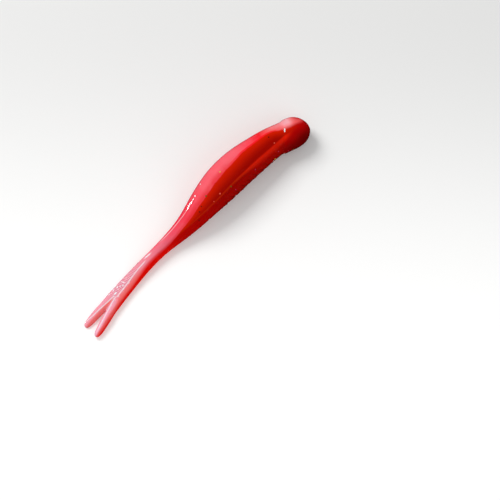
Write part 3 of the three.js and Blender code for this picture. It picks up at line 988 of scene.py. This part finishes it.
# %% Camera
VIEW_TURN, VIEW_RISE = math.radians(-44.2), math.radians(70)  # of the picture's right, and upwards
PICTURE = 500
SCALE = 0.4107 * MM  # metres on the bait for one dot of the picture
LENS, SENSOR = 1500.0, 36.0
ORIGIN_DOT = (191.1, 222.9)  # where the frame's origin falls in the picture
NEAREST, FARTHEST = 0.01, 20

right = Vector((math.cos(VIEW_TURN), math.sin(VIEW_TURN), 0))
upward = Vector((-math.sin(VIEW_TURN) * math.sin(VIEW_RISE),
                 math.cos(VIEW_TURN) * math.sin(VIEW_RISE), math.cos(VIEW_RISE)))
toward = right.cross(upward)
dots_off = [dot - PICTURE / 2 for dot in ORIGIN_DOT]
target = -right * dots_off[0] * SCALE + upward * dots_off[1] * SCALE
camera_distance = PICTURE * SCALE * LENS / SENSOR
bpy.ops.object.camera_add()
camera = bpy.context.object
camera.data.lens, camera.data.sensor_width = LENS, SENSOR
camera.data.clip_start, camera.data.clip_end = NEAREST, FARTHEST
camera_axes = Matrix((right, upward, toward)).transposed().to_4x4()
camera.matrix_world = Matrix.Translation(target + toward * camera_distance) @ camera_axes
bpy.context.scene.camera = camera
print("camera is", round(camera_distance, 3), "m from", [round(value, 4) for value in target])

# %% [markdown]
# ## Table
# The bait lies on a plain pale table. Under these lamps plain white paper would be greyer towards
# the foot of the picture, so the paper glows a little there. It isn't mirrored in the vinyl, because
# that would wash out the deep reds.

# %% Table
TABLE_WIDTH = 4
PAPER, PAPER_GLOW, PAPER_ROUGHNESS = linear(240, 240, 239), linear(150, 150, 150), 0.6
GLOW_SPAN = -0.1, 0.07  # metres down the picture from the origin

bpy.ops.object.select_all(action="DESELECT")
bpy.ops.mesh.primitive_plane_add(size=TABLE_WIDTH, location=(0, 0, 0))
table = bpy.context.object
table.name = "table"
paper = Finish("pale_paper")
down_the_picture = (math.sin(VIEW_TURN), -math.cos(VIEW_TURN), 0)
paper_place = paper.node("TexCoord", {}, {}).value("Object")
downward = paper.node("VectorMath", {"operation": "DOT_PRODUCT"}, {0: paper_place, 1: down_the_picture})
paper_glow = paper.mix(downward.value("Value").smooth(*GLOW_SPAN), linear(0, 0, 0), PAPER_GLOW)
paper_shader = paper.node("BsdfPrincipled", {}, {
    "Base Color": PAPER, "Roughness": PAPER_ROUGHNESS, "Emission Color": paper_glow,
    "Emission Strength": 1.0})
table.data.materials.append(paper.finish(paper_shader.value("BSDF")))
table.visible_glossy = False
print("table:", table.dimensions.x, "m wide")

# %% [markdown]
# ## Lamps
# Soft studio light comes from all round. A large lamp on the upper left lights the pink side, and a
# weaker one fills in from the lower right. Neither is mirrored, because on a wet skin they would
# leave broad white patches. The one long glint on the narrowing body comes from a small strip lamp
# on the left, which is mirrored in the gloss and lights nothing else. It is a little below the
# table's level, and shows all the same because the table isn't mirrored.

# %% Lamps
LAMPS = [  # name, turn and rise in degrees, distance, width and height in metres, watts, mirrored
    ("key_lamp", 138, 48, 1.2, (0.6, 0.6), 9.2, False),
    ("fill_lamp", -40, 35, 1.2, (0.8, 0.8), 2.0, False),
    ("body_strip", 148, -7, 0.8, (0.033, 0.13), 0.7, True),
]
ROOM_LIGHT = 0.42


def add_lamp(name, turn, rise, distance, size, watts, mirrored):
    """A lamp that faces the bait, placed by its turn from the picture's right and its rise. It either
    shades the skin or is only mirrored in its gloss."""
    angle = VIEW_TURN + math.radians(turn)
    flat = math.cos(math.radians(rise))
    towards = Vector((math.cos(angle) * flat, math.sin(angle) * flat, math.sin(math.radians(rise))))
    bpy.ops.object.light_add(type="AREA", location=towards * distance)
    lamp = bpy.context.object
    lamp.name = name
    lamp.rotation_euler = towards.to_track_quat("Z", "Y").to_euler()
    lamp.data.shape = "RECTANGLE"
    lamp.data.size, lamp.data.size_y = size
    lamp.data.energy = watts
    lamp.visible_glossy = mirrored
    lamp.visible_diffuse = not mirrored
    lamp.visible_camera = False


for lamp_row in LAMPS:
    add_lamp(*lamp_row)
world = bpy.data.worlds.new("studio")
bpy.context.scene.world = world
world.use_nodes = True
world.node_tree.nodes["Background"].inputs["Color"].default_value = (1, 1, 1, 1)
world.node_tree.nodes["Background"].inputs["Strength"].default_value = ROOM_LIGHT
world.cycles_visibility.glossy = False
bpy.context.scene.view_settings.view_transform = "Standard"

# %% [markdown]
